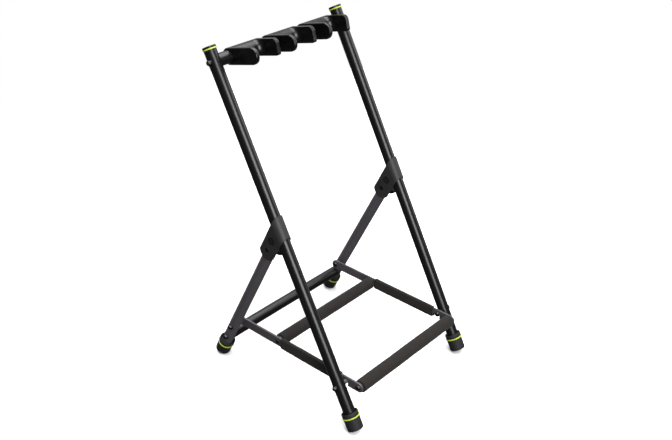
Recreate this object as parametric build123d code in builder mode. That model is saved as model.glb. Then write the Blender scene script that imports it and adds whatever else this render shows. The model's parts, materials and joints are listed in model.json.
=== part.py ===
from build123d import *
from math import cos, radians, sin, tan
import os

# Folding three-place guitar rack. Millimetres and degrees.
# +X is across the rack, -Y is its front, +Z is up, and the feet stand on Z = 0.
# The origin is on the ground, at the centre of the rack's footprint.

# ---- driving dimensions ----
HALF_WIDTH = 174.0           # from the middle plane to the tube axes
FRONT_GROUND_Y = -194.15     # where the axis of a long tube meets the ground
FOOTPRINT = 387.6            # from there to where the axis of a rear leg meets the ground
LONG_LEAN = 28.8             # long tubes lean back
REAR_LEAN = -26.0            # rear legs lean forward

LONG_RADIUS = 12.5
REAR_RADIUS = 11.7
WALL = 1.5                   # wall of every steel tube
TUBE_START = 14.0            # tubes start this far up from the ground, inside their feet
LONG_END = 787.5             # upper end of a long tube, along its axis

BOLT_RADIUS = 3.0
BOLT_GAP = 0.05              # running clearance round a shaft
TOUCH_GAP = 0.01             # between a coped end and its tube
COPED_END = 168.0            # |X| of a cross tube's end before it is coped
INSERT_INNER = 141.0         # |X| of the inner end of the inserts in the cross tubes
BOLT_END = 145.0             # |X| of the inner end of the bolts in them
CORE_INSERT_INNER = 125.5    # the same two in the padded tubes
CORE_SCREW_END = 130.5
HEAD_RADIUS = 5.2
HEAD_HEIGHT = 3.2
SOCKET_RADIUS = 2.3          # hex socket, across corners
SOCKET_DEPTH = 1.8
WASHER_RADIUS = 6.4
WASHER_HEIGHT = 1.0

PIVOT_HEIGHT = 331.4         # height of the fold pivots
PLUG_REACH = 9.0             # plug in a rear leg's upper end: beyond the pivot,
PLUG_RIM = 3.0               # its rim on the tube's end,
PLUG_DEPTH = 14.0            # and inside the tube, short of the pivot

TOP_BAR_S = 765.0            # along the long tube
TOP_BAR_RADIUS = 12.5
CROSS_HEIGHT = 56.0          # height of the rear cross tube
CROSS_RADIUS = 12.0

BASE_HEIGHT = 89.0           # height of the base frame's side bars
BAR_INNER = 150.5            # |X| of a side bar's inner face
BAR_THICK = 4.0
BAR_HALF_HEIGHT = 10.0
FRONT_TUBE_Y = 17.2          # from the long tubes' ground point
MID_TUBE_Y = 235.5
CORE_RADIUS = 9.5            # steel core of the padded tubes
FRONT_FOAM_RADIUS = 13.9
MID_FOAM_RADIUS = 13.6
FRONT_FOAM_HALF_LENGTH = 149.5
MID_FOAM_HALF_LENGTH = 146.3
SIDE_FOAM_HALF_THICK = 6.0
SIDE_FOAM_HALF_HEIGHT = 12.7
SIDE_FOAM_CORNER = 5.5
SIDE_FOAM_FROM_Y = 62.0
SIDE_FOAM_TO_Y = 225.5

STUD_RADIUS = 5.0            # bush on which the notch of a side bar rests
NOTCH_RADIUS = 5.15
STUD_HEAD_RADIUS = 5.4
STUD_HEAD_HEIGHT = 3.4
STUD_HEAD_GAP = 0.4
NOTCH_SLANT = 27.5           # degrees; the bar lifts off the stud forward and up
LOW_HEAD_HEIGHT = 2.6

YOKE_PITCH = 99.5
YOKE_HALF_LENGTH = 40.0
YOKE_RADIUS = 16.4           # round the bar, and half the height of a finger
YOKE_TILT = 14.4             # fingers point forward and this much up
FINGER_THICK = 8.5
FINGER_ROUND = 2.4
FINGER_INNER_ROUND = 1.6
SHORT_FINGER_TOP_ROUND = 10.0
SHORT_FINGER_LOW_ROUND = 5.0
LONG_FINGER_REACH = 78.0
SHORT_FINGER_REACH = 58.0
PANEL_MIDDLE = 48.5          # from the bar's axis along the long finger
PANEL_LENGTH = 51.0
PANEL_HEIGHT = 24.8
PANEL_DEPTH = 0.6
PANEL_RING_AT = 62.0
PANEL_RING_RADIUS = 4.6
FLARE = 14.0                 # the hub widens by this much into the short finger
FLARE_SINK = 0.6             # sunk this far into both, so it meets them at an angle
FLARE_HALF_HEIGHT = 15.3     # cut flat above and below, just inside the finger

FOOT_END = 7.5               # along the tube
FOOT_TOP = 45.0
FOOT_RADIUS = 16.4
FOOT_TOP_RADIUS = 17.1
FOOT_RING_AT = 34.8
FOOT_RING_RADIUS = 17.8
FOOT_RING_HALF = 1.2
FOOT_GROOVE_RADIUS = 15.6

CAP_RADIUS = 13.3
CAP_RING_HEIGHT = 2.3
CAP_HEIGHT = 4.3

SLEEVE_RADIUS = 15.0         # bracket round the long tube, and half its width
CHEEK_INNER = 12.3           # half the gap between a bracket's cheeks
BRACKET_BACK = 16.6          # bracket's back plane, behind the rear leg's axis
BRACKET_FRONT = 21.0         # bracket's front plane, ahead of that axis
LUG_RADIUS = 20.5
CHANNEL_RADIUS = 15.3        # room for the rear leg's end between the cheeks
LEG_CLEARANCE = 0.6
EMBLEM_RADIUS = 7.5
EMBLEM_INNER_RADIUS = 4.1
EMBLEM_LINE = 1.1
EMBLEM_DEPTH = 0.5
EMBLEM_UP = 26.6             # from the pivot, up along the leg
EMBLEM_BEHIND = -0.6
PIVOT_RECESS = 1.2
PIVOT_HEAD_RADIUS = 4.6
PIVOT_HEAD_HEIGHT = 1.4
WEB_FOOT = 393.0             # lower end of the web behind the long tube, along it
WEB_AHEAD = -13.6
BUMPER_POST = 6.5
BUMPER_TIP = 5.0
BUMPER_AHEAD = -22.8

SIDES = {"left": -1, "right": 1}
REAR_GROUND_Y = FRONT_GROUND_Y + FOOTPRINT

os.makedirs("parts", exist_ok=True)


# ---- reference lines and planes ----
def along(ground_y, lean, distance):
    """(Y, Z) of the point at a distance along a leaning tube's axis."""
    return (ground_y + distance * sin(radians(lean)), distance * cos(radians(lean)))


def at_height(ground_y, lean, height):
    """(Y, Z) of the point of a leaning tube's axis at a height."""
    return (ground_y + height * tan(radians(lean)), height)


def square_plane(side, ground_y, lean, distance):
    """Plane square to a leaning tube at a distance along it, its local Y pointing back and down."""
    y, z = along(ground_y, lean, distance)
    direction = (0, sin(radians(lean)), cos(radians(lean)))
    return Plane(origin=(side * HALF_WIDTH, y, z), x_dir=(1, 0, 0), z_dir=direction)


def axial_plane(side, ground_y, lean):
    """Plane through a leaning tube's axis: local X is +X, local Y runs up the tube."""
    normal = (0, -cos(radians(lean)), sin(radians(lean)))
    return Plane(origin=(side * HALF_WIDTH, ground_y, 0), x_dir=(1, 0, 0), z_dir=normal)


def tube_axis(side, ground_y, lean):
    direction = (0, sin(radians(lean)), cos(radians(lean)))
    return Axis((side * HALF_WIDTH, ground_y, 0), direction)


def long_point(distance, ahead):
    """(Y, Z) of a point given along the long tube and square ahead of its axis."""
    y, z = along(FRONT_GROUND_Y, LONG_LEAN, distance)
    return (y - ahead * cos(radians(LONG_LEAN)), z + ahead * sin(radians(LONG_LEAN)))


def leg_point(up, behind):
    """(Y, Z) of a point given from the fold pivot, up along the rear leg and square behind it."""
    y, z = PIVOT
    back = (cos(radians(REAR_LEAN)), -sin(radians(REAR_LEAN)))
    rise = (sin(radians(REAR_LEAN)), cos(radians(REAR_LEAN)))
    return (y + up * rise[0] + behind * back[0], z + up * rise[1] + behind * back[1])


PIVOT = at_height(REAR_GROUND_Y, REAR_LEAN, PIVOT_HEIGHT)
PIVOT_S = PIVOT_HEIGHT / cos(radians(REAR_LEAN))
LEG_TOP = PIVOT_S + PLUG_REACH - PLUG_RIM
TOP_BAR = along(FRONT_GROUND_Y, LONG_LEAN, TOP_BAR_S)
CROSS = at_height(REAR_GROUND_Y, REAR_LEAN, CROSS_HEIGHT)
HINGE = at_height(REAR_GROUND_Y, REAR_LEAN, BASE_HEIGHT)
STUD = at_height(FRONT_GROUND_Y, LONG_LEAN, BASE_HEIGHT)
FRONT_TUBE = (FRONT_GROUND_Y + FRONT_TUBE_Y, BASE_HEIGHT)
MID_TUBE = (FRONT_GROUND_Y + MID_TUBE_Y, BASE_HEIGHT)
BAR_OUTER = BAR_INNER + BAR_THICK
# Fold pivot in the long tube's own directions
PIVOT_ALONG = ((PIVOT[0] - FRONT_GROUND_Y) * sin(radians(LONG_LEAN))
               + PIVOT[1] * cos(radians(LONG_LEAN)))
PIVOT_AHEAD = (PIVOT[1] * sin(radians(LONG_LEAN))
               - (PIVOT[0] - FRONT_GROUND_Y) * cos(radians(LONG_LEAN)))
# Where the bracket's back and front planes cross the long tube's axis
BETWEEN = radians(LONG_LEAN - REAR_LEAN)
BACK_MEETS_TUBE = PIVOT_ALONG + (BRACKET_BACK - PIVOT_AHEAD * cos(BETWEEN)) / sin(BETWEEN)
FRONT_MEETS_TUBE = PIVOT_ALONG + (-BRACKET_FRONT - PIVOT_AHEAD * cos(BETWEEN)) / sin(BETWEEN)


def save(builder, label):
    builder.part.label = label
    export_step(builder.part, f"parts/{label}.step")


# ---- round features and fasteners, all along X ----
def circle_at(point, radius, x):
    """Circle square to X, as a sketch."""
    with BuildSketch(Plane.YZ.offset(x)) as circle:
        with Locations(point):
            Circle(radius)
    return circle.sketch


def disc(point, radius, x_from, x_to):
    """Adds a round solid along X between two X values."""
    extrude(circle_at(point, radius, min(x_from, x_to)), amount=abs(x_to - x_from))


def drill(point, radius, x_from, x_to):
    """Cuts a round hole along X between two X values."""
    low = min(x_from, x_to)
    extrude(circle_at(point, radius, low), amount=abs(x_to - x_from), mode=Mode.SUBTRACT)


def screw_head(point, seat, top, radius=HEAD_RADIUS):
    """Adds a domed head with a hex socket, from the X of its seat to the X of its top."""
    height = top - seat
    extrude(circle_at(point, radius, seat), amount=height, taper=20)
    depth = SOCKET_DEPTH if height > 0 else -SOCKET_DEPTH
    with BuildSketch(Plane.YZ.offset(top - depth)) as socket:
        with Locations(point):
            RegularPolygon(SOCKET_RADIUS, 6)
    extrude(socket.sketch, amount=depth, mode=Mode.SUBTRACT)


def cope(side, tube_radius, ground_y, lean):
    """Cuts away the space that a leaning tube fills."""
    with BuildSketch(square_plane(side, ground_y, lean, 0)) as tube:
        Circle(tube_radius + TOUCH_GAP)
    extrude(tube.sketch, amount=LONG_END, mode=Mode.SUBTRACT)


def saddle_washer(point, side, tube_radius, ground_y, lean):
    """Washer that is flat outside and sits round on a leaning tube."""
    crown = HALF_WIDTH + tube_radius
    with BuildPart() as washer:
        disc(point, WASHER_RADIUS, side * (crown - 2), side * (crown + WASHER_HEIGHT))
        cope(side, tube_radius, ground_y, lean)
        drill(point, BOLT_RADIUS + BOLT_GAP, side * (crown - 3), side * (crown + 3))
    return washer.part


def washer_set(points, tube_radius, ground_y, lean):
    """Saddle washers outside both tubes of a pair, at each of the points."""
    return [
        saddle_washer(point, side, tube_radius, ground_y, lean)
        for point in points
        for side in SIDES.values()
    ]


# ---- long tubes ----
for name, side in SIDES.items():
    with BuildPart() as long_tube:
        with BuildSketch(square_plane(side, FRONT_GROUND_Y, LONG_LEAN, TUBE_START)):
            Circle(LONG_RADIUS)
            Circle(LONG_RADIUS - WALL, mode=Mode.SUBTRACT)
        extrude(amount=LONG_END - TUBE_START)
        for point in (TOP_BAR, STUD):
            drill(point, BOLT_RADIUS + 0.1, side * (HALF_WIDTH - 20), side * (HALF_WIDTH + 20))
    save(long_tube, f"long_tube_{name}")

# ---- caps on the long tubes ----
for name, side in SIDES.items():
    with BuildPart() as cap_ring:
        with BuildSketch(square_plane(side, FRONT_GROUND_Y, LONG_LEAN, LONG_END)):
            Circle(CAP_RADIUS)
            Circle(LONG_RADIUS - WALL - 1.0, mode=Mode.SUBTRACT)
        extrude(amount=CAP_RING_HEIGHT)
    save(cap_ring, f"cap_ring_{name}")

    with BuildPart() as cap:
        with BuildSketch(square_plane(side, FRONT_GROUND_Y, LONG_LEAN, LONG_END + CAP_RING_HEIGHT)):
            Circle(CAP_RADIUS)
        extrude(amount=CAP_HEIGHT)
        fillet(cap.edges().filter_by(GeomType.CIRCLE).sort_by(Axis.Z)[-1], 1.2)
        with BuildSketch(square_plane(side, FRONT_GROUND_Y, LONG_LEAN, LONG_END - 8)):
            Circle(LONG_RADIUS - WALL - 1.05)
        extrude(amount=8 + CAP_RING_HEIGHT)
    save(cap, f"tube_cap_{name}")

# ---- rubber feet with their coloured rings ----
LEGS = {
    "front": (FRONT_GROUND_Y, LONG_LEAN, LONG_RADIUS),
    "rear": (REAR_GROUND_Y, REAR_LEAN, REAR_RADIUS),
}
for end, (ground_y, lean, tube_radius) in LEGS.items():
    bore = tube_radius + 0.02
    for name, side in SIDES.items():
        with BuildPart() as foot:
            with BuildSketch(axial_plane(side, ground_y, lean)):
                with BuildLine():
                    Polyline(
                        (0, FOOT_END - 3),
                        (FOOT_RADIUS, FOOT_END - 3),
                        (FOOT_RADIUS + 0.4, FOOT_RING_AT - FOOT_RING_HALF),
                        (FOOT_GROOVE_RADIUS, FOOT_RING_AT - FOOT_RING_HALF),
                        (FOOT_GROOVE_RADIUS, FOOT_RING_AT + FOOT_RING_HALF),
                        (FOOT_RADIUS + 0.4, FOOT_RING_AT + FOOT_RING_HALF),
                        (FOOT_TOP_RADIUS, FOOT_TOP - 1.0),
                        (FOOT_TOP_RADIUS - 1.0, FOOT_TOP),
                        (bore + 1.4, FOOT_TOP),
                        (bore, FOOT_TOP - 3.0),
                        (bore, TUBE_START),
                        (0, TUBE_START),
                        close=True,
                    )
                make_face()
            revolve(axis=tube_axis(side, ground_y, lean))
            split(bisect_by=square_plane(side, ground_y, lean, FOOT_END), keep=Keep.TOP)
            split(bisect_by=Plane.XY, keep=Keep.TOP)
        save(foot, f"{end}_foot_{name}")

        with BuildPart() as foot_ring:
            with BuildSketch(square_plane(side, ground_y, lean, FOOT_RING_AT - FOOT_RING_HALF)):
                Circle(FOOT_RING_RADIUS)
                Circle(FOOT_GROOVE_RADIUS, mode=Mode.SUBTRACT)
            extrude(amount=2 * FOOT_RING_HALF)
            fillet(foot_ring.edges().group_by(SortBy.LENGTH)[-1], 0.7)
        save(foot_ring, f"{end}_foot_ring_{name}")

# ---- top bar ----
with BuildPart() as top_bar:
    disc(TOP_BAR, TOP_BAR_RADIUS, -COPED_END, COPED_END)
    drill(TOP_BAR, TOP_BAR_RADIUS - WALL, -COPED_END, COPED_END)
    for side in SIDES.values():
        cope(side, LONG_RADIUS, FRONT_GROUND_Y, LONG_LEAN)
save(top_bar, "top_bar")

with BuildPart() as top_bar_inserts:
    for side in SIDES.values():
        inner, outer = side * INSERT_INNER, side * (HALF_WIDTH - LONG_RADIUS - 2)
        disc(TOP_BAR, TOP_BAR_RADIUS - WALL - TOUCH_GAP, inner, outer)
        drill(TOP_BAR, BOLT_RADIUS + BOLT_GAP, inner, outer)
save(top_bar_inserts, "top_bar_inserts")

with BuildPart() as top_bar_bolts:
    for side in SIDES.values():
        seat = HALF_WIDTH + LONG_RADIUS + WASHER_HEIGHT
        disc(TOP_BAR, BOLT_RADIUS, side * BOLT_END, side * seat)
        screw_head(TOP_BAR, side * seat, side * (seat + HEAD_HEIGHT))
save(top_bar_bolts, "top_bar_bolts")

# ---- neck yokes that slide along the top bar ----
YOKES = {"left": -YOKE_PITCH, "centre": 0.0, "right": YOKE_PITCH}


def finger_plane(x):
    """Plane square to X at the top bar: local X points along the fingers, local Y up across them."""
    forward = (0, -cos(radians(YOKE_TILT)), sin(radians(YOKE_TILT)))
    return Plane(origin=(x, TOP_BAR[0], TOP_BAR[1]), x_dir=forward, z_dir=(-1, 0, 0))


def hub_flare(face_x):
    """Concave flare from the hub, ahead of the bar, to the inner face of the short finger."""
    low_r = YOKE_RADIUS - FLARE_SINK
    high_r = low_r + FLARE
    root_x = face_x + FLARE_SINK
    tip_x = root_x - FLARE
    turn = FLARE * (1 - cos(radians(45)))
    with BuildPart(mode=Mode.PRIVATE) as flare:
        with BuildSketch(Plane(origin=(0, *TOP_BAR), x_dir=(1, 0, 0), z_dir=(0, 0, 1))):
            with BuildLine():
                Polyline(
                    (tip_x, low_r),
                    (tip_x, low_r - 1),
                    (root_x + 1, low_r - 1),
                    (root_x + 1, high_r),
                    (root_x, high_r),
                )
                ThreePointArc((root_x, high_r), (root_x - turn, low_r + turn), (tip_x, low_r))
            make_face()
        revolve(axis=Axis((0, *TOP_BAR), (1, 0, 0)))
        with BuildSketch(finger_plane(root_x + 1)):
            with Locations((high_r / 2, 0)):
                Rectangle(high_r, 2 * FLARE_HALF_HEIGHT)
        extrude(amount=FLARE + 1, mode=Mode.INTERSECT)
    return flare.part


for name, centre in YOKES.items():
    low, high = centre - YOKE_HALF_LENGTH, centre + YOKE_HALF_LENGTH
    with BuildPart() as yoke:
        # long finger on the left, with a half-round end
        with BuildSketch(finger_plane(low + FINGER_THICK)):
            with Locations(((LONG_FINGER_REACH - YOKE_RADIUS) / 2, 0)):
                SlotOverall(LONG_FINGER_REACH + YOKE_RADIUS, 2 * YOKE_RADIUS)
        extrude(amount=FINGER_THICK)
        fillet(yoke.faces().sort_by(Axis.X)[0].edges(), FINGER_ROUND)
        fillet(yoke.faces().sort_by(Axis.X)[-1].edges(), FINGER_INNER_ROUND)
        # short finger on the right, with a blunter end
        with BuildSketch(finger_plane(high)) as blunt:
            Circle(YOKE_RADIUS)
            with Locations((SHORT_FINGER_REACH / 2, 0)):
                Rectangle(SHORT_FINGER_REACH, 2 * YOKE_RADIUS)
            front = blunt.vertices().group_by(Axis.X)[-1]
            fillet(front.sort_by(Axis.Y)[-1], SHORT_FINGER_TOP_ROUND)
            front = blunt.vertices().group_by(Axis.X)[-1]
            fillet(front.sort_by(Axis.Y)[0], SHORT_FINGER_LOW_ROUND)
        extrude(amount=FINGER_THICK)
        disc(TOP_BAR, YOKE_RADIUS, low + FINGER_THICK / 2, high - FINGER_THICK / 2)
        drill(TOP_BAR, TOP_BAR_RADIUS + BOLT_GAP, low - 1, high + 1)
        add(hub_flare(high - FINGER_THICK))
        # shallow panel with a plain raised ring, on the long finger's outer face
        with BuildSketch(finger_plane(low)):
            with Locations((PANEL_MIDDLE, 0)):
                SlotOverall(PANEL_LENGTH, PANEL_HEIGHT)
        extrude(amount=-PANEL_DEPTH, mode=Mode.SUBTRACT)
        with BuildSketch(finger_plane(low + PANEL_DEPTH)):
            with Locations((PANEL_RING_AT, 0)):
                Circle(PANEL_RING_RADIUS)
                Circle(PANEL_RING_RADIUS - EMBLEM_LINE, mode=Mode.SUBTRACT)
        extrude(amount=EMBLEM_DEPTH)
    save(yoke, f"yoke_{name}")

# ---- brackets that join the rear legs to the long tubes ----
def leg_strip(x, low, high, front, back):
    """Rectangle square to X, running along the rear leg: up and behind, from the fold pivot."""
    with BuildSketch(Plane.YZ.offset(x)) as strip:
        with BuildLine():
            Polyline(
                leg_point(low, front),
                leg_point(high, front),
                leg_point(high, back),
                leg_point(low, back),
                close=True,
            )
        make_face()
    return strip.sketch


def cheek_outline(x):
    """Side outline of a bracket's cheeks: a strip along the rear leg, rounded round the pivot."""
    with BuildSketch(Plane.YZ.offset(x)) as outline:
        with BuildLine():
            Polyline(
                long_point(BACK_MEETS_TUBE, 0),
                leg_point(0, BRACKET_BACK),
                leg_point(-4, BRACKET_BACK),
                leg_point(-16, BRACKET_BACK - 8),
                leg_point(-16, -8),
                leg_point(4, -BRACKET_FRONT),
                long_point(FRONT_MEETS_TUBE, 0),
                close=True,
            )
        make_face()
        with Locations(leg_point(-2.0, -1.5)):
            Circle(LUG_RADIUS)
    beyond = 20
    outline = outline.sketch - leg_strip(x, -30, 120, BRACKET_BACK, BRACKET_BACK + beyond)
    return outline - leg_strip(x, -30, 120, -BRACKET_FRONT, -BRACKET_FRONT - beyond)


def leg_channel(x):
    """Side outline of the space between the cheeks in which the rear leg turns."""
    with BuildSketch(Plane.YZ.offset(x)) as channel:
        with Locations(PIVOT):
            Circle(CHANNEL_RADIUS)
        with BuildLine():
            Polyline(
                PIVOT,
                leg_point(0, REAR_RADIUS + LEG_CLEARANCE),
                leg_point(-60, REAR_RADIUS + LEG_CLEARANCE),
                long_point(PIVOT_ALONG - 60, WEB_AHEAD),
                long_point(WEB_FOOT, WEB_AHEAD),
                long_point(WEB_FOOT, PIVOT_AHEAD),
                close=True,
            )
        make_face()
    return channel.sketch


def emblem(x):
    """Two plain rings, one in the other, as a sketch."""
    with BuildSketch(Plane.YZ.offset(x)) as rings:
        with Locations(leg_point(EMBLEM_UP, EMBLEM_BEHIND)):
            Circle(EMBLEM_RADIUS)
            Circle(EMBLEM_RADIUS - EMBLEM_LINE, mode=Mode.SUBTRACT)
            Circle(EMBLEM_INNER_RADIUS)
            Circle(EMBLEM_INNER_RADIUS - EMBLEM_LINE, mode=Mode.SUBTRACT)
    return rings.sketch


for name, side in SIDES.items():
    middle = side * HALF_WIDTH
    with BuildPart() as bracket:
        # the sleeve, cut to a strip that runs along the rear leg
        with BuildSketch(square_plane(side, FRONT_GROUND_Y, LONG_LEAN, PIVOT_ALONG - 80)):
            Circle(SLEEVE_RADIUS)
        extrude(amount=180)
        strip = leg_strip(middle, -10, 120, -BRACKET_FRONT, BRACKET_BACK)
        extrude(strip, amount=SLEEVE_RADIUS + 1, both=True, mode=Mode.INTERSECT)
        extrude(cheek_outline(middle), amount=SLEEVE_RADIUS, both=True)
        extrude(leg_channel(middle), amount=CHEEK_INNER, both=True, mode=Mode.SUBTRACT)
        cope(side, LONG_RADIUS, FRONT_GROUND_Y, LONG_LEAN)
        drill(PIVOT, BOLT_RADIUS + BOLT_GAP, middle - 20, middle + 20)
        for out in (-1, 1):
            face_x = middle + out * SLEEVE_RADIUS
            drill(PIVOT, PIVOT_HEAD_RADIUS + 0.2, face_x, face_x - out * PIVOT_RECESS)
            extrude(emblem(face_x), amount=-out * EMBLEM_DEPTH, mode=Mode.SUBTRACT)
    save(bracket, f"bracket_{name}")

# ---- fold pivots: a screw and a cap nut through each bracket, and a bush in each leg ----
with BuildPart() as pivot_bolts:
    for side in SIDES.values():
        outer = HALF_WIDTH + SLEEVE_RADIUS - PIVOT_RECESS
        inner = HALF_WIDTH - SLEEVE_RADIUS + PIVOT_RECESS
        disc(PIVOT, BOLT_RADIUS, side * inner, side * outer)
        screw_head(PIVOT, side * outer, side * (outer + PIVOT_HEAD_HEIGHT), PIVOT_HEAD_RADIUS)
save(pivot_bolts, "pivot_bolts")

with BuildPart() as pivot_nuts:
    for side in SIDES.values():
        inner = HALF_WIDTH - SLEEVE_RADIUS + PIVOT_RECESS
        screw_head(PIVOT, side * inner, side * (inner - PIVOT_HEAD_HEIGHT), PIVOT_HEAD_RADIUS)
save(pivot_nuts, "pivot_nuts")

# ---- bumpers on which the rear legs land when the rack is folded ----
with BuildPart() as bumper_posts:
    for side in SIDES.values():
        plane = square_plane(side, FRONT_GROUND_Y, LONG_LEAN, WEB_FOOT - BUMPER_POST)
        with BuildSketch(plane):
            with Locations((0, -BUMPER_AHEAD)):
                Circle(2.6)
        extrude(amount=BUMPER_POST)
save(bumper_posts, "bumper_posts")

with BuildPart() as bumper_tips:
    for side in SIDES.values():
        plane = square_plane(side, FRONT_GROUND_Y, LONG_LEAN, WEB_FOOT - BUMPER_POST - BUMPER_TIP)
        with BuildSketch(plane):
            with Locations((0, -BUMPER_AHEAD)):
                Circle(3.4)
        extrude(amount=BUMPER_TIP)
save(bumper_tips, "bumper_tips")

# ---- studs on the long tubes that carry the base frame ----
with BuildPart() as stud_bolts:
    for side in SIDES.values():
        seat = HALF_WIDTH + LONG_RADIUS + WASHER_HEIGHT
        inner = BAR_INNER - STUD_HEAD_GAP
        disc(STUD, BOLT_RADIUS, side * inner, side * seat)
        screw_head(STUD, side * seat, side * (seat + HEAD_HEIGHT))
save(stud_bolts, "stud_bolts")

with BuildPart() as stud_bushes:
    for side in SIDES.values():
        disc(STUD, STUD_RADIUS, side * (BAR_INNER - STUD_HEAD_GAP), side * (HALF_WIDTH - LONG_RADIUS + 2))
        cope(side, LONG_RADIUS, FRONT_GROUND_Y, LONG_LEAN)
        drill(STUD, BOLT_RADIUS + BOLT_GAP, side * (BAR_INNER - 2), side * HALF_WIDTH)
save(stud_bushes, "stud_bushes")

with BuildPart() as stud_nuts:
    for side in SIDES.values():
        inner = BAR_INNER - STUD_HEAD_GAP
        screw_head(STUD, side * inner, side * (inner - STUD_HEAD_HEIGHT), STUD_HEAD_RADIUS)
save(stud_nuts, "stud_nuts")

upper_and_lower = washer_set((TOP_BAR, STUD), LONG_RADIUS, FRONT_GROUND_Y, LONG_LEAN)
with BuildPart() as frame_washers:
    add(upper_and_lower)
save(frame_washers, "frame_washers")

# ---- rear legs ----
for name, side in SIDES.items():
    with BuildPart() as rear_leg:
        with BuildSketch(square_plane(side, REAR_GROUND_Y, REAR_LEAN, TUBE_START)):
            Circle(REAR_RADIUS)
            Circle(REAR_RADIUS - WALL, mode=Mode.SUBTRACT)
        extrude(amount=LEG_TOP - TUBE_START)
        for point in (PIVOT, HINGE, CROSS):
            drill(point, BOLT_RADIUS + 0.1, side * (HALF_WIDTH - 20), side * (HALF_WIDTH + 20))
    save(rear_leg, f"rear_leg_{name}")

    with BuildPart() as leg_plug:
        with BuildSketch(square_plane(side, REAR_GROUND_Y, REAR_LEAN, PIVOT_S - PLUG_DEPTH)):
            Circle(REAR_RADIUS - WALL - TOUCH_GAP)
        extrude(amount=LEG_TOP - PIVOT_S + PLUG_DEPTH)
        with BuildSketch(square_plane(side, REAR_GROUND_Y, REAR_LEAN, LEG_TOP)):
            Circle(REAR_RADIUS)
        extrude(amount=PLUG_RIM)
        drill(PIVOT, BOLT_RADIUS + BOLT_GAP, side * (HALF_WIDTH - 20), side * (HALF_WIDTH + 20))
    save(leg_plug, f"leg_plug_{name}")

# ---- rear cross tube ----
with BuildPart() as rear_cross_tube:
    disc(CROSS, CROSS_RADIUS, -COPED_END, COPED_END)
    drill(CROSS, CROSS_RADIUS - WALL, -COPED_END, COPED_END)
    for side in SIDES.values():
        cope(side, REAR_RADIUS, REAR_GROUND_Y, REAR_LEAN)
save(rear_cross_tube, "rear_cross_tube")

with BuildPart() as cross_inserts:
    for side in SIDES.values():
        inner, outer = side * INSERT_INNER, side * (HALF_WIDTH - REAR_RADIUS - 2)
        disc(CROSS, CROSS_RADIUS - WALL - TOUCH_GAP, inner, outer)
        drill(CROSS, BOLT_RADIUS + BOLT_GAP, inner, outer)
save(cross_inserts, "cross_inserts")

with BuildPart() as cross_bolts:
    for side in SIDES.values():
        seat = HALF_WIDTH + REAR_RADIUS + WASHER_HEIGHT
        disc(CROSS, BOLT_RADIUS, side * BOLT_END, side * seat)
        screw_head(CROSS, side * seat, side * (seat + HEAD_HEIGHT))
save(cross_bolts, "cross_bolts")

# ---- hinges of the base frame on the rear legs ----
with BuildPart() as hinge_bolts:
    for side in SIDES.values():
        seat = HALF_WIDTH + REAR_RADIUS + WASHER_HEIGHT
        disc(HINGE, BOLT_RADIUS, side * BAR_INNER, side * seat)
        screw_head(HINGE, side * seat, side * (seat + HEAD_HEIGHT))
save(hinge_bolts, "hinge_bolts")

with BuildPart() as hinge_spacers:
    for side in SIDES.values():
        disc(HINGE, HEAD_RADIUS, side * BAR_OUTER, side * (HALF_WIDTH - REAR_RADIUS + 2))
        cope(side, REAR_RADIUS, REAR_GROUND_Y, REAR_LEAN)
        drill(HINGE, BOLT_RADIUS + BOLT_GAP, side * BAR_INNER, side * HALF_WIDTH)
save(hinge_spacers, "hinge_spacers")

with BuildPart() as hinge_nuts:
    for side in SIDES.values():
        screw_head(HINGE, side * BAR_INNER, side * (BAR_INNER - HEAD_HEIGHT))
save(hinge_nuts, "hinge_nuts")

hinge_and_cross = washer_set((HINGE, CROSS), REAR_RADIUS, REAR_GROUND_Y, REAR_LEAN)
with BuildPart() as leg_washers:
    add(hinge_and_cross)
save(leg_washers, "leg_washers")

# ---- base frame: side bars ----
slant = radians(NOTCH_SLANT)
notch_back = (STUD[0] + NOTCH_RADIUS * cos(slant), BASE_HEIGHT + NOTCH_RADIUS * sin(slant))
notch_low = BASE_HEIGHT - BAR_HALF_HEIGHT - 1
for name, side in SIDES.items():
    with BuildPart() as side_bar:
        with BuildSketch(Plane.YZ.offset(side * BAR_INNER)):
            with BuildLine():
                Polyline(
                    (FRONT_TUBE[0], BASE_HEIGHT - BAR_HALF_HEIGHT),
                    (FRONT_TUBE[0], BASE_HEIGHT + BAR_HALF_HEIGHT),
                    (HINGE[0], BASE_HEIGHT + BAR_HALF_HEIGHT),
                    (HINGE[0], BASE_HEIGHT - BAR_HALF_HEIGHT),
                    close=True,
                )
            make_face()
            with Locations(FRONT_TUBE, HINGE):
                Circle(BAR_HALF_HEIGHT)
            with Locations(FRONT_TUBE, MID_TUBE, HINGE):
                Circle(BOLT_RADIUS + BOLT_GAP, mode=Mode.SUBTRACT)
            # the notch that drops over the stud, its back wall slanting clear of it
            with Locations(STUD):
                Circle(NOTCH_RADIUS, mode=Mode.SUBTRACT)
            with BuildLine():
                Polyline(
                    (STUD[0] - NOTCH_RADIUS, BASE_HEIGHT),
                    notch_back,
                    (notch_back[0] + (notch_back[1] - notch_low) * tan(slant), notch_low),
                    (STUD[0] - NOTCH_RADIUS, notch_low),
                    close=True,
                )
            make_face(mode=Mode.SUBTRACT)
        extrude(amount=side * BAR_THICK)
    save(side_bar, f"side_bar_{name}")

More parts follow.
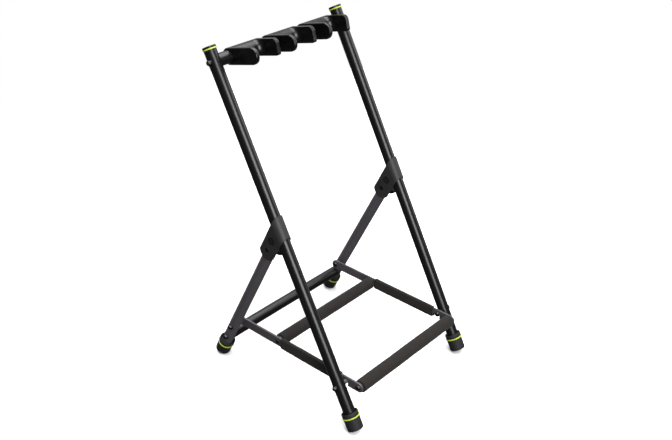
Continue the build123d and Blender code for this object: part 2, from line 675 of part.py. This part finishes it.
# ---- base frame: padded cross tubes ----
PADDED = {
    "front": (FRONT_TUBE, FRONT_FOAM_RADIUS, FRONT_FOAM_HALF_LENGTH),
    "middle": (MID_TUBE, MID_FOAM_RADIUS, MID_FOAM_HALF_LENGTH),
}
for name, (point, foam_radius, foam_end) in PADDED.items():
    with BuildPart() as core_tube:
        disc(point, CORE_RADIUS, -BAR_INNER, BAR_INNER)
        drill(point, CORE_RADIUS - WALL, -BAR_INNER, BAR_INNER)
    save(core_tube, f"{name}_core_tube")

    with BuildPart() as foam:
        disc(point, foam_radius, -foam_end, foam_end)
        drill(point, CORE_RADIUS + 0.05, -foam_end, foam_end)
    save(foam, f"{name}_foam")

    with BuildPart() as inserts:
        for side in SIDES.values():
            inner, outer = side * CORE_INSERT_INNER, side * BAR_INNER
            disc(point, CORE_RADIUS - WALL - TOUCH_GAP, inner, outer)
            drill(point, BOLT_RADIUS + BOLT_GAP, inner, outer)
    save(inserts, f"{name}_inserts")

with BuildPart() as front_screws:
    for side in SIDES.values():
        disc(FRONT_TUBE, BOLT_RADIUS, side * CORE_SCREW_END, side * BAR_OUTER)
        screw_head(FRONT_TUBE, side * BAR_OUTER, side * (BAR_OUTER + LOW_HEAD_HEIGHT))
save(front_screws, "front_screws")

with BuildPart() as middle_screws:
    for side in SIDES.values():
        disc(MID_TUBE, BOLT_RADIUS, side * CORE_SCREW_END, side * BAR_OUTER)
        screw_head(MID_TUBE, side * BAR_OUTER, side * (BAR_OUTER + PIVOT_HEAD_HEIGHT), PIVOT_HEAD_RADIUS)
save(middle_screws, "middle_screws")

# ---- base frame: foam sleeves on the side bars ----
side_foam_middle = (SIDE_FOAM_FROM_Y + SIDE_FOAM_TO_Y) / 2
side_foam_length = SIDE_FOAM_TO_Y - SIDE_FOAM_FROM_Y
for name, side in SIDES.items():
    start = Plane.XZ.offset(-(FRONT_GROUND_Y + SIDE_FOAM_TO_Y))
    with BuildPart() as side_foam:
        with BuildSketch(start):
            with Locations((side * (BAR_INNER + BAR_THICK / 2), BASE_HEIGHT)):
                RectangleRounded(
                    2 * SIDE_FOAM_HALF_THICK, 2 * SIDE_FOAM_HALF_HEIGHT, SIDE_FOAM_CORNER
                )
                Rectangle(
                    BAR_THICK + 0.1, 2 * BAR_HALF_HEIGHT + 0.1, mode=Mode.SUBTRACT
                )
        extrude(amount=side_foam_length)
    save(side_foam, f"side_foam_{name}")
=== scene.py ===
import json
import math

import bmesh
import bpy
from mathutils import Matrix, Vector, noise


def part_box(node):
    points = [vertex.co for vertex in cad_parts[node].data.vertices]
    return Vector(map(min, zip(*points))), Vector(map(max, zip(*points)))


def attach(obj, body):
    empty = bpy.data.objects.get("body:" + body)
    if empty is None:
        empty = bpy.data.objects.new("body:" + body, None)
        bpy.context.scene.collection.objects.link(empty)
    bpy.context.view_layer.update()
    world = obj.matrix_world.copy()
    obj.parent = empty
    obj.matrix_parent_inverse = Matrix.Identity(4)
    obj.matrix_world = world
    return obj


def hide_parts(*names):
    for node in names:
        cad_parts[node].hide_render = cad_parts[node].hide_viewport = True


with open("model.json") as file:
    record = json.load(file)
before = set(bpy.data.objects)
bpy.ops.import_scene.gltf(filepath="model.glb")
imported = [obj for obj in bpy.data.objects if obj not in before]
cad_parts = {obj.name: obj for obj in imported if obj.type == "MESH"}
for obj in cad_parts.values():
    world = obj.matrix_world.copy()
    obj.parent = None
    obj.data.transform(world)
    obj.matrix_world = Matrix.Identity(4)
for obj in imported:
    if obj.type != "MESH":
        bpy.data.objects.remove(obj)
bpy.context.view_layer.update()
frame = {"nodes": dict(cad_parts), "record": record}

# Folding three-place guitar rack, in metres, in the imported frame:
# +X is across the rack, +Y towards its back, +Z up, and it stands on Z = 0.

SIDES = {"left": -1, "right": 1}

# ---- reference lines of the frame ----
FRONT_GROUND_Y = -0.19415      # where the axis of a long tube meets the floor
REAR_GROUND_Y = 0.19345        # where the axis of a rear leg meets the floor
HALF_WIDTH = 0.174             # |X| of the tube axes
LONG_LEAN = math.radians(28.8)
REAR_LEAN = math.radians(-26.0)
LONG_RADIUS = 0.0125
REAR_RADIUS = 0.0117
TAU = 2 * math.pi

# ---- common settings ----
NOISE_LOW, NOISE_HIGH = 0.3, 0.7   # the part of a noise's range that is used
WELD = 1e-6                        # points nearer than this are one point
FOAM_PLAY = 0.0002                 # how far a sleeve stays inside its CAD solid
WIDE_SWELL, SMALL_SWELL, SWELL_SHIFT = 0.00028, 0.00012, 0.0001


# ---- materials ----
def shader(name, color, roughness, metallic=0.0, specular=0.5):
    """Principled material with its constants on its own sockets."""
    material = bpy.data.materials.new(name)
    material.use_nodes = True
    nodes, links = material.node_tree.nodes, material.node_tree.links
    bsdf = nodes["Principled BSDF"]
    bsdf.inputs["Base Color"].default_value = (*color, 1.0)
    bsdf.inputs["Roughness"].default_value = roughness
    bsdf.inputs["Metallic"].default_value = metallic
    bsdf.inputs["Specular IOR Level"].default_value = specular
    return material, nodes, links, bsdf


def object_coords(nodes, links, scale=(1, 1, 1)):
    """Object coordinates in metres, scaled."""
    coords = nodes.new("ShaderNodeTexCoord")
    mapping = nodes.new("ShaderNodeMapping")
    mapping.inputs["Scale"].default_value = scale
    links.new(coords.outputs["Object"], mapping.inputs["Vector"])
    return mapping.outputs["Vector"]


def noise_node(nodes, links, vector, scale, detail=2.0, roughness=0.5):
    texture = nodes.new("ShaderNodeTexNoise")
    texture.inputs["Scale"].default_value = scale
    texture.inputs["Detail"].default_value = detail
    texture.inputs["Roughness"].default_value = roughness
    links.new(vector, texture.inputs["Vector"])
    return texture.outputs["Fac"]


def spread(nodes, links, fac, low, high):
    """Maps a noise value to a range of numbers."""
    remap = nodes.new("ShaderNodeMapRange")
    remap.inputs["From Min"].default_value = NOISE_LOW
    remap.inputs["From Max"].default_value = NOISE_HIGH
    remap.inputs["To Min"].default_value = low
    remap.inputs["To Max"].default_value = high
    links.new(fac, remap.inputs["Value"])
    return remap.outputs["Result"]


def tint(nodes, links, fac, first, second):
    """Mixes two colours by a noise value."""
    ramp = nodes.new("ShaderNodeValToRGB")
    ramp.color_ramp.elements[0].position = NOISE_LOW
    ramp.color_ramp.elements[0].color = (*first, 1.0)
    ramp.color_ramp.elements[1].position = NOISE_HIGH
    ramp.color_ramp.elements[1].color = (*second, 1.0)
    links.new(fac, ramp.inputs["Fac"])
    return ramp.outputs["Color"]


def bump(nodes, links, height, distance, strength=1.0, under=None):
    node = nodes.new("ShaderNodeBump")
    node.inputs["Distance"].default_value = distance
    node.inputs["Strength"].default_value = strength
    links.new(height, node.inputs["Height"])
    if under is not None:
        links.new(under, node.inputs["Normal"])
    return node.outputs["Normal"]


def painted(name, dark, light, roughness, specular, peel=0.000002):
    """Powder coat: orange peel a few millimetres across, with faint changes of tone and gloss."""
    material, nodes, links, bsdf = shader(name, dark, roughness, specular=specular)
    vector = object_coords(nodes, links)
    broad = noise_node(nodes, links, vector, 22, 4, 0.6)
    links.new(tint(nodes, links, broad, dark, light), bsdf.inputs["Base Color"])
    fine = noise_node(nodes, links, vector, 160, 1, 0.5)
    links.new(
        spread(nodes, links, fine, roughness - 0.008, roughness + 0.012), bsdf.inputs["Roughness"]
    )
    waves = bump(nodes, links, noise_node(nodes, links, vector, 420, 1), peel)
    links.new(waves, bsdf.inputs["Normal"])
    return material


def moulded(name, dark, light, roughness, specular, grain=0.0000015, grain_scale=900):
    """Moulded plastic: fine spark-eroded grain and a little unevenness of gloss."""
    material, nodes, links, bsdf = shader(name, dark, roughness, specular=specular)
    vector = object_coords(nodes, links)
    broad = noise_node(nodes, links, vector, 35, 3, 0.55)
    links.new(tint(nodes, links, broad, dark, light), bsdf.inputs["Base Color"])
    links.new(
        spread(nodes, links, broad, roughness - 0.03, roughness + 0.05), bsdf.inputs["Roughness"]
    )
    flow = bump(nodes, links, noise_node(nodes, links, vector, 120, 1), grain)
    fine = bump(nodes, links, noise_node(nodes, links, vector, grain_scale, 2), grain, under=flow)
    links.new(fine, bsdf.inputs["Normal"])
    return material


def rubbery(name, dark, light, roughness):
    """Moulded rubber: chalky mottling, fine pits and scuffs."""
    material, nodes, links, bsdf = shader(name, dark, roughness, specular=0.35)
    vector = object_coords(nodes, links)
    broad = noise_node(nodes, links, vector, 90, 5, 0.65)
    links.new(tint(nodes, links, broad, dark, light), bsdf.inputs["Base Color"])
    links.new(
        spread(nodes, links, broad, roughness - 0.06, roughness + 0.08), bsdf.inputs["Roughness"]
    )
    pits = bump(nodes, links, noise_node(nodes, links, vector, 1400, 3), 0.00012)
    scuffs = bump(nodes, links, noise_node(nodes, links, vector, 260, 4), 0.00010, under=pits)
    links.new(scuffs, bsdf.inputs["Normal"])
    return material


def foam_skin(name, dark, light):
    """Closed-cell foam: small round cells, soft mottling and a dry sheen."""
    material, nodes, links, bsdf = shader(name, dark, 0.9, specular=0.25)
    bsdf.inputs["Sheen Weight"].default_value = 0.06
    bsdf.inputs["Sheen Roughness"].default_value = 0.6
    vector = object_coords(nodes, links)
    broad = noise_node(nodes, links, vector, 60, 5, 0.7)
    links.new(tint(nodes, links, broad, dark, light), bsdf.inputs["Base Color"])
    cells = nodes.new("ShaderNodeTexVoronoi")
    cells.inputs["Scale"].default_value = 900
    links.new(vector, cells.inputs["Vector"])
    pores = bump(nodes, links, cells.outputs["Distance"], 0.00022, 0.8)
    lumps = bump(nodes, links, noise_node(nodes, links, vector, 330, 4, 0.6), 0.0004, under=pores)
    links.new(lumps, bsdf.inputs["Normal"])
    return material


def polished(name, color, roughness):
    """Plated steel, finely scratched."""
    material, nodes, links, bsdf = shader(name, color, roughness, metallic=1.0)
    vector = object_coords(nodes, links)
    smudge = noise_node(nodes, links, vector, 380, 4, 0.6)
    links.new(
        spread(nodes, links, smudge, roughness - 0.05, roughness + 0.12), bsdf.inputs["Roughness"]
    )
    darker = tuple(0.8 * c for c in color)
    links.new(tint(nodes, links, smudge, darker, color), bsdf.inputs["Base Color"])
    fine = noise_node(nodes, links, object_coords(nodes, links, (1, 0.08, 1)), 3000, 2)
    links.new(bump(nodes, links, fine, 0.00002), bsdf.inputs["Normal"])
    return material


BLACK_PAINT = painted("black_paint", (0.0030, 0.0030, 0.0032), (0.0038, 0.0038, 0.0040), 0.30, 0.5)
LEG_PAINT = painted("leg_paint", (0.052, 0.048, 0.056), (0.064, 0.060, 0.068), 0.40, 0.5)
YOKE_PLASTIC = moulded(
    "yoke_plastic", (0.0018, 0.0018, 0.0018), (0.0024, 0.0024, 0.0024), 0.27, 0.5, 0.0000001
)
BRACKET_PLASTIC = moulded(
    "bracket_plastic", (0.0170, 0.0170, 0.0172), (0.0215, 0.0215, 0.0215), 0.50, 0.4, 0.000010, 1300
)
CAP_PLASTIC = moulded("cap_plastic", (0.003, 0.003, 0.003), (0.004, 0.004, 0.004), 0.3, 0.5)
# near-black material for the rings over the bracket grooves: painted shade
GROOVE_SHADE_PAINT = moulded(
    "groove_shade_paint", (0.0010, 0.0010, 0.0010), (0.0018, 0.0018, 0.0018), 0.55, 0.15
)
RING_PLASTIC = moulded("ring_plastic", (0.36, 0.46, 0.035), (0.43, 0.53, 0.06), 0.42, 0.5)
FOOT_RUBBER = rubbery("foot_rubber", (0.0075, 0.0075, 0.0085), (0.0130, 0.0130, 0.0145), 0.62)
FOAM = foam_skin("foam", (0.0048, 0.0033, 0.0025), (0.0080, 0.0058, 0.0045))
STEEL = polished("screw_steel", (0.055, 0.055, 0.058), 0.30)
PALE_PLASTIC = moulded("pale_plastic", (0.050, 0.050, 0.052), (0.070, 0.070, 0.072), 0.45, 0.5)
BUMPER_RUBBER = rubbery("bumper_rubber", (0.003, 0.003, 0.003), (0.006, 0.006, 0.006), 0.6)

FINISH = {
    "black_paint": BLACK_PAINT,
    "grey_paint": LEG_PAINT,
    "yoke_plastic": YOKE_PLASTIC,
    "bracket_plastic": BRACKET_PLASTIC,
    "black_plastic": CAP_PLASTIC,
    "ring_green": RING_PLASTIC,
    "foot_rubber": FOOT_RUBBER,
    "foam": FOAM,
    "screw_steel": STEEL,
    "pale_plastic": PALE_PLASTIC,
    "bumper_rubber": BUMPER_RUBBER,
}
SLOT_OF = {s["node"]: s["material_slot"] for s in frame["record"]["subparts"]}


def dress(thing, material):
    thing.data.materials.clear()
    thing.data.materials.append(material)


for node_name, node in frame["nodes"].items():
    dress(node, FINISH[SLOT_OF[node_name]])


# ---- mesh helpers ----
def make_piece(name, verts, faces, body, slot_name, nodes=()):
    """A smooth mesh piece that rides on a body and may stand for CAD nodes."""
    mesh = bpy.data.meshes.new(name)
    mesh.from_pydata([tuple(v) for v in verts], [], faces)
    mesh.update()
    bm = bmesh.new()
    bm.from_mesh(mesh)
    bmesh.ops.remove_doubles(bm, verts=bm.verts, dist=WELD)
    bmesh.ops.recalc_face_normals(bm, faces=bm.faces)
    bm.to_mesh(mesh)
    bm.free()
    for polygon in mesh.polygons:
        polygon.use_smooth = True
    piece = bpy.data.objects.new(name, mesh)
    bpy.context.scene.collection.objects.link(piece)
    dress(piece, FINISH[slot_name])
    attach(piece, body)
    if nodes:
        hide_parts(*nodes)
    return piece


def loft(rings, closed_along=False):
    """Quads between rings of equal length; the ends are left open unless the rings close up."""
    count = len(rings[0])
    verts = [v for ring in rings for v in ring]
    faces = []
    spans = len(rings) if closed_along else len(rings) - 1
    for i in range(spans):
        a, b = i * count, ((i + 1) % len(rings)) * count
        for j in range(count):
            k = (j + 1) % count
            faces.append((a + j, a + k, b + k, b + j))
    return verts, faces


def arc(center, radius, start, end, steps):
    """Points (along, out) on an arc; angles in degrees."""
    points = []
    for i in range(steps + 1):
        angle = math.radians(start + (end - start) * i / steps)
        points.append((center[0] + radius * math.cos(angle), center[1] + radius * math.sin(angle)))
    return points


def uneven_foam(wide_at, small_at):
    """How far foam stands out of its plain shape at a point."""
    wide, small = noise.noise(Vector(wide_at)), noise.noise(Vector(small_at))
    return WIDE_SWELL * wide + SMALL_SWELL * small - SWELL_SHIFT


# ---- foam sleeves on the cross tubes ----
CORE_RADIUS = 0.0096
ROUND_LIP = 0.0028
ROUND_STEPS, ROUND_COUNT, ROUND_LIP_STEPS = 150, 72, 6


def foam_sleeve(name, node):
    """A sleeve along X with rounded lips, slightly uneven all over."""
    low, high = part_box(node)
    radius = (high.z - low.z) / 2 - FOAM_PLAY
    cy, cz = (low.y + high.y) / 2, (low.z + high.z) / 2
    lip = ROUND_LIP
    length = high.x - low.x - 2 * lip
    profile = [(low.x, CORE_RADIUS)]
    profile += arc((low.x + lip, radius - lip), lip, 180, 90, ROUND_LIP_STEPS)
    for i in range(1, ROUND_STEPS):
        profile.append((low.x + lip + length * i / ROUND_STEPS, radius))
    profile += arc((high.x - lip, radius - lip), lip, 90, 0, ROUND_LIP_STEPS)
    profile.append((high.x, CORE_RADIUS))
    rings = []
    for x, r in profile:
        ring = []
        for j in range(ROUND_COUNT):
            angle = TAU * j / ROUND_COUNT
            c, s = math.cos(angle), math.sin(angle)
            local = r
            if r > CORE_RADIUS + 0.001:
                local += uneven_foam(
                    (x * 14, c * 1.1, s * 1.1 + cy * 9), (x * 90, c * 3, s * 3 + cy * 5)
                )
            ring.append((x, cy + local * c, cz + local * s))
        rings.append(ring)
    verts, faces = loft(rings, closed_along=True)
    piece = make_piece(name, verts, faces, "base_frame", "foam", [node])


foam_sleeve("front_padding", "front_foam")
foam_sleeve("middle_padding", "middle_foam")


# ---- foam sleeves on the side bars ----
FLAT_LIP = 0.0024
FLAT_STEPS, FLAT_COUNT, FLAT_LIP_STEPS = 84, 64, 5
OBLONG_POWER = 2 / 3.6             # of the rounded oblong that a sleeve is in section
BAR_PLAY = 0.0001


def side_sleeve(name, node, bar):
    """A flat sleeve along Y: a rounded oblong with rounded lips round a flat bar."""
    low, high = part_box(node)
    bar_low, bar_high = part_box(bar)
    cx, cz = (low.x + high.x) / 2, (low.z + high.z) / 2
    half_x, half_z = (high.x - low.x) / 2 - FOAM_PLAY, (high.z - low.z) / 2 - FOAM_PLAY
    inner_x = (bar_high.x - bar_low.x) / 2 + BAR_PLAY
    inner_z = (bar_high.z - bar_low.z) / 2 + BAR_PLAY
    turns = [TAU * (j + 0.5) / FLAT_COUNT for j in range(FLAT_COUNT)]
    around = [(math.cos(angle), math.sin(angle)) for angle in turns]

    def section(y, shrink):
        ring = []
        for c, s in around:
            px = math.copysign(abs(c) ** OBLONG_POWER, c)
            pz = math.copysign(abs(s) ** OBLONG_POWER, s)
            grow = uneven_foam((px, y * 16, pz + cx * 20), (px * 2, y * 90, pz * 2 + cx * 7))
            grow -= shrink
            ring.append((cx + px * (half_x + grow), y, cz + pz * (half_z + grow)))
        return ring

    def hole(y):
        ring = []
        for c, s in around:
            reach = max(abs(c) / inner_x, abs(s) / inner_z)
            ring.append((cx + c / reach, y, cz + s / reach))
        return ring

    lip = FLAT_LIP
    length = high.y - low.y - 2 * lip
    rings = [hole(low.y)]
    for y, drop in arc((low.y + lip, -lip), lip, 180, 90, FLAT_LIP_STEPS):
        rings.append(section(y, -drop))
    for i in range(1, FLAT_STEPS):
        rings.append(section(low.y + lip + length * i / FLAT_STEPS, 0.0))
    for y, drop in arc((high.y - lip, -lip), lip, 90, 0, FLAT_LIP_STEPS):
        rings.append(section(y, -drop))
    rings.append(hole(high.y))
    verts, faces = loft(rings, closed_along=True)
    piece = make_piece(name, verts, faces, "base_frame", "foam", [node])


for side_name in SIDES:
    side_sleeve(f"side_padding_{side_name}", f"side_foam_{side_name}", f"side_bar_{side_name}")


# ---- rubber feet ----
def tube_matrix(side, ground_y, lean):
    """Local Z runs up the tube from the floor, local Y points back and down."""
    up = Vector((0, math.sin(lean), math.cos(lean)))
    across = Vector((1, 0, 0))
    back = up.cross(across)
    turn = Matrix((across, back, up)).transposed().to_4x4()
    return Matrix.Translation((side * HALF_WIDTH, ground_y, 0)) @ turn


# radius and height of a boot, below and above the groove for its ring
FOOT_PROFILE_LOW = [
    (0.0000, 0.0075), (0.0100, 0.0075), (0.0148, 0.0076), (0.0158, 0.0080), (0.0163, 0.0088),
    (0.01635, 0.0105), (0.0164, 0.0125), (0.0164, 0.0160), (0.01645, 0.0210), (0.0165, 0.0260),
    (0.0166, 0.0304), (0.0167, 0.0322), (0.0166, 0.0328), (0.0162, 0.0331), (0.0158, 0.0333),
]
FOOT_PROFILE_HIGH = [
    (0.0158, 0.0363), (0.0164, 0.0365), (0.01685, 0.0369), (0.01695, 0.0380), (0.0170, 0.0400),
    (0.0171, 0.0425), (0.0171, 0.0438), (0.0169, 0.0445), (0.0164, 0.0449), (0.0156, 0.0450),
    (0.0150, 0.0448), (0.0145, 0.0443), (0.0141, 0.0432), (0.0139, 0.0415),
]
TUBE_PLAY, MOUTH_HEIGHT = 0.0001, 0.0400
FOOT_COUNT = 144
TREADS = 16
TREAD_HALF, TREAD_DEPTH = 0.16, 0.0012
TREAD_TOP, TREAD_FADE = 0.0125, 0.004
SOLE_RADIUS = 0.012                # the treads are outside this
MOULD_MARK = 0.00006


def tread_cut(angle, z):
    """Depth of the treads round the lower edge of a boot."""
    phase = (angle * TREADS / TAU) % 1.0
    cut = max(0.0, 1 - abs(phase - 0.5) / TREAD_HALF)
    cut = cut * cut * (3 - 2 * cut)
    return TREAD_DEPTH * cut * max(0.0, min(1.0, (TREAD_TOP - z) / TREAD_FADE))


def rubber_foot(name, side, ground_y, lean, tube_radius, body, node):
    """A turned boot with a collar, a groove for its ring and treads round its lower edge."""
    place = tube_matrix(side, ground_y, lean)
    mouth = (tube_radius + TUBE_PLAY, MOUTH_HEIGHT)
    rings = []
    for r, z in FOOT_PROFILE_LOW + FOOT_PROFILE_HIGH + [mouth]:
        ring = []
        for j in range(FOOT_COUNT):
            angle = TAU * j / FOOT_COUNT
            c, s = math.cos(angle), math.sin(angle)
            depth = tread_cut(angle, z) if r > SOLE_RADIUS else 0
            radius = max(0.0, r - depth)
            radius += MOULD_MARK * noise.noise(Vector((c * 3, s * 3, z * 300)))
            point = place @ Vector((radius * c, radius * s, z))
            ring.append((point.x, point.y, max(0.0, point.z)))
        rings.append(ring)
    verts, faces = loft(rings)
    make_piece(name, verts, faces, body, "foot_rubber", [node])


for side_name, side in SIDES.items():
    rubber_foot(
        f"front_boot_{side_name}", side, FRONT_GROUND_Y, LONG_LEAN, LONG_RADIUS,
        "main_frame", f"front_foot_{side_name}",
    )
    rubber_foot(
        f"rear_boot_{side_name}", side, REAR_GROUND_Y, REAR_LEAN, REAR_RADIUS,
        "rear_legs", f"rear_foot_{side_name}",
    )

# ---- dark rings over the bracket grooves: painted shade in the grooves ----
PIVOT = Vector((0, 0.031815, 0.3314))
LEG_UP = Vector((0, math.sin(REAR_LEAN), math.cos(REAR_LEAN)))
LEG_BACK = Vector((0, math.cos(REAR_LEAN), -math.sin(REAR_LEAN)))
EMBLEM = PIVOT + 0.0266 * LEG_UP - 0.0006 * LEG_BACK
BRACKET_HALF = 0.015
SHADE_RING_LINE = 0.0020
SHADE_RING_COUNT = 72
# across the line, in line widths, and height over the bracket's face
SHADE_RING_SECTION = [(-0.20, -0.00035), (-0.50, 0.00002), (-0.40, 0.00022), (0.0, 0.00030),
                 (0.40, 0.00022), (0.50, 0.00002), (0.20, -0.00035)]


def groove_shade_ring(name, side, out, radius):
    """A crowned near-black ring over its groove on one face of a bracket: painted shade in the
    groove.
    """
    face_x = side * HALF_WIDTH + out * BRACKET_HALF
    rings = []
    for across, rise_by in SHADE_RING_SECTION:
        ring = []
        r = radius + across * SHADE_RING_LINE
        for j in range(SHADE_RING_COUNT):
            angle = TAU * j / SHADE_RING_COUNT
            ring.append((
                face_x + out * rise_by,
                EMBLEM.y + r * math.cos(angle),
                EMBLEM.z + r * math.sin(angle),
            ))
        rings.append(ring)
    verts, faces = loft(rings, closed_along=True)
    piece = make_piece(name, verts, faces, "main_frame", "black_plastic")
    # painted shade: the shade of the groove drawn as a near-black ring
    dress(piece, GROOVE_SHADE_PAINT)


for side_name, side in SIDES.items():
    for out_name, out in (("outer", side), ("inner", -side)):
        for size_name, radius in (("large", 0.00695), ("small", 0.00355)):
            groove_shade_ring(f"inlay_{size_name}_{out_name}_{side_name}", side, out, radius)

# ---- camera at the viewing angle ----
AZIMUTH = math.radians(-49.18)
ELEVATION = math.radians(29.58)
ROLL = math.radians(-1.16)
TARGET = Vector((-0.0017, 0.0242, 0.3297))
DISTANCE = 1.9219
LENS = 50.41
SHIFT_X, SHIFT_Y = 0.0020, -0.0048
SENSOR, FAR_CLIP = 36.0, 50
away = Vector((
    math.sin(AZIMUTH) * math.cos(ELEVATION),
    -math.cos(AZIMUTH) * math.cos(ELEVATION),
    math.sin(ELEVATION),
))
level = (-away).cross(Vector((0, 0, 1))).normalized()
rise = away.cross(level)
right = math.cos(ROLL) * level - math.sin(ROLL) * rise
up = math.sin(ROLL) * level + math.cos(ROLL) * rise
camera_data = bpy.data.cameras.new("camera")
camera_data.sensor_width = SENSOR
camera_data.lens = LENS
camera_data.shift_x = SHIFT_X
camera_data.shift_y = SHIFT_Y
camera_data.clip_end = FAR_CLIP
camera = bpy.data.objects.new("camera", camera_data)
camera.matrix_world = (
    Matrix.Translation(TARGET + away * DISTANCE)
    @ Matrix((right, up, away)).transposed().to_4x4()
)
bpy.context.scene.collection.objects.link(camera)
bpy.context.scene.camera = camera

# ---- floor ----
FLOOR_RADIUS = 1.75
floor_mesh = bpy.data.meshes.new("floor")
floor_bm = bmesh.new()
bmesh.ops.create_circle(floor_bm, cap_ends=True, segments=96, radius=FLOOR_RADIUS)
floor_bm.to_mesh(floor_mesh)
floor_bm.free()
floor = bpy.data.objects.new("floor", floor_mesh)
bpy.context.scene.collection.objects.link(floor)
floor_paint, *_ = shader("floor_paint", (0.93, 0.93, 0.93), 0.9, specular=0.0)
dress(floor, floor_paint)
floor.visible_glossy = False
floor.visible_diffuse = False

# ---- light ----
# the camera sees white, a glossy surface sees a room, and the rest is lit evenly
world = bpy.data.worlds.new("studio")
bpy.context.scene.world = world
world.use_nodes = True
sky, sky_links = world.node_tree.nodes, world.node_tree.links
backdrop = sky["Background"]
backdrop.inputs["Color"].default_value = (1, 1, 1, 1)
backdrop.inputs["Strength"].default_value = 1.0
room = sky.new("ShaderNodeBackground")
room.inputs["Color"].default_value = (0.97, 0.98, 1.0, 1)
# the room is dim in front and below, and pale behind the rack
heading = sky.new("ShaderNodeTexCoord")
facing = sky.new("ShaderNodeVectorMath")
facing.operation = "DOT_PRODUCT"
facing.inputs[1].default_value = Vector((0.66, 0.70, 0.27)).normalized()
sky_links.new(heading.outputs["Generated"], facing.inputs[0])
wash = sky.new("ShaderNodeMapRange")
wash.interpolation_type = "SMOOTHSTEP"
wash.inputs["From Min"].default_value = 0.15
wash.inputs["From Max"].default_value = 0.95
wash.inputs["To Min"].default_value = 0.06
wash.inputs["To Max"].default_value = 0.55
sky_links.new(facing.outputs["Value"], wash.inputs["Value"])
sky_links.new(wash.outputs["Result"], room.inputs["Strength"])
# soft light from every side, bounce off the floor included
fill = sky.new("ShaderNodeBackground")
fill.inputs["Color"].default_value = (1.0, 0.985, 0.97, 1)
fill.inputs["Strength"].default_value = 0.42
path = sky.new("ShaderNodeLightPath")
lit = sky.new("ShaderNodeMixShader")
sky_links.new(path.outputs["Is Glossy Ray"], lit.inputs["Fac"])
sky_links.new(fill.outputs["Background"], lit.inputs[1])
sky_links.new(room.outputs["Background"], lit.inputs[2])
choose = sky.new("ShaderNodeMixShader")
sky_links.new(path.outputs["Is Camera Ray"], choose.inputs["Fac"])
sky_links.new(lit.outputs["Shader"], choose.inputs[1])
sky_links.new(backdrop.outputs["Background"], choose.inputs[2])
sky_links.new(choose.outputs["Shader"], sky["World Output"].inputs["Surface"])


def softbox(name, spot, aim, width, height, power):
    light = bpy.data.lights.new(name, "AREA")
    light.shape = "RECTANGLE"
    light.size = width
    light.size_y = height
    light.energy = power
    lamp = bpy.data.objects.new(name, light)
    lamp.location = spot
    lamp.rotation_euler = (Vector(aim) - Vector(spot)).to_track_quat("-Z", "Y").to_euler()
    bpy.context.scene.collection.objects.link(lamp)


softbox("key", (-0.74, -1.66, 1.05), (-0.1, -0.05, 0.45), 0.95, 1.5, 38)
softbox("overhead", (0.3, 0.1, 3.2), (0, 0.1, 0), 3.8, 3.4, 235)
softbox("side", (1.9, -1.0, 1.3), (0.1, 0, 0.5), 1.3, 1.7, 16)

bpy.context.scene.view_settings.view_transform = "Standard"
